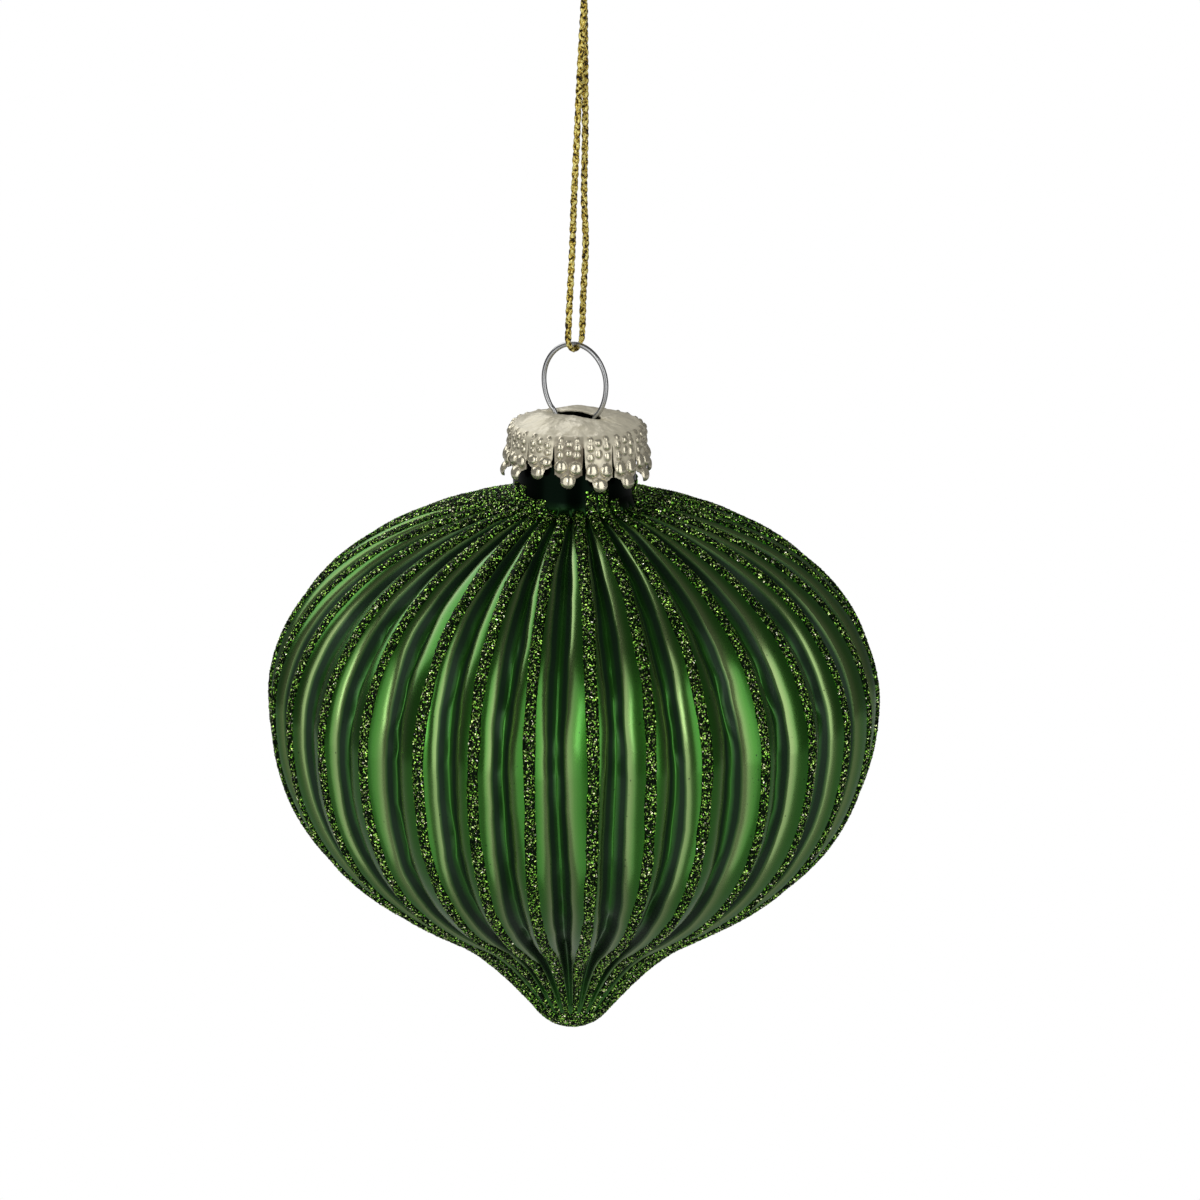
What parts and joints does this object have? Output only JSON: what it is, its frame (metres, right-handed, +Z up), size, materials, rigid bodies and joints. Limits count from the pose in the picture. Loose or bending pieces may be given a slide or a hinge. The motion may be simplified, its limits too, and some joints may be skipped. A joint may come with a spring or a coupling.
{
  "type": "teardrop glass ornament",
  "caption": "Hollow teardrop glass ornament with fluted sides, glitter lines on the ribs, a crown cap, a wire eye and a gold hanging cord.",
  "frame": {"origin": "the hang point, in the crotch of the cord loop just under its knot", "axes": "+Z up along the ornament's axis, +X along the plane of the wire eye, +Y through the eye"},
  "size_m": [0.081, 0.081, 0.1662],
  "materials": {
    "green_lacquer": "opaque satin metallic green lacquer over blown glass",
    "glitter": "green and black glitter in clear glue",
    "champagne_metal": "stamped thin metal, pale champagne, bright",
    "steel_wire": "drawn bright steel wire",
    "gold_cord": "braided metallic gold thread"
  },
  "bodies": {
    "cord_loop": {"hanging_cord": "gold_cord", "cord_knot": "gold_cord"},
    "hanger": {"wire_hanger": "steel_wire"},
    "crown": {"cap": "champagne_metal"},
    "drop": {"glass_neck": "green_lacquer", "glass_body": "green_lacquer", "glitter_band_01": "glitter", "glitter_band_02": "glitter", "glitter_band_03": "glitter", "glitter_band_04": "glitter", "glitter_band_05": "glitter", "glitter_band_06": "glitter", "glitter_band_07": "glitter", "glitter_band_08": "glitter", "glitter_band_09": "glitter", "glitter_band_10": "glitter", "glitter_band_11": "glitter", "glitter_band_12": "glitter", "glitter_band_13": "glitter", "glitter_band_14": "glitter", "glitter_band_15": "glitter", "glitter_band_16": "glitter", "glitter_band_17": "glitter", "glitter_band_18": "glitter", "glitter_band_19": "glitter", "glitter_band_20": "glitter", "glitter_band_21": "glitter", "glitter_band_22": "glitter", "glitter_band_23": "glitter", "glitter_band_24": "glitter", "glitter_band_25": "glitter", "glitter_band_26": "glitter", "glitter_band_27": "glitter", "glitter_band_28": "glitter", "glitter_band_29": "glitter", "glitter_band_30": "glitter", "glitter_tip": "glitter"}
  },
  "joints": [
    {"name": "hanger_swing", "type": "hinge", "parent": "cord_loop", "child": "hanger", "pos_m": [0, 0, -0.06], "axis": [1, 0, 0], "range_deg": [-90, 90]},
    {"name": "cap_slide", "type": "slide", "parent": "hanger", "child": "crown", "axis": [0, 0, 1], "range_m": [-0.0015, 0]},
    {"name": "glass_pull_off", "type": "slide", "parent": "crown", "child": "drop", "axis": [0, 0, 1], "range_m": [-0.03, 0]}
  ]
}
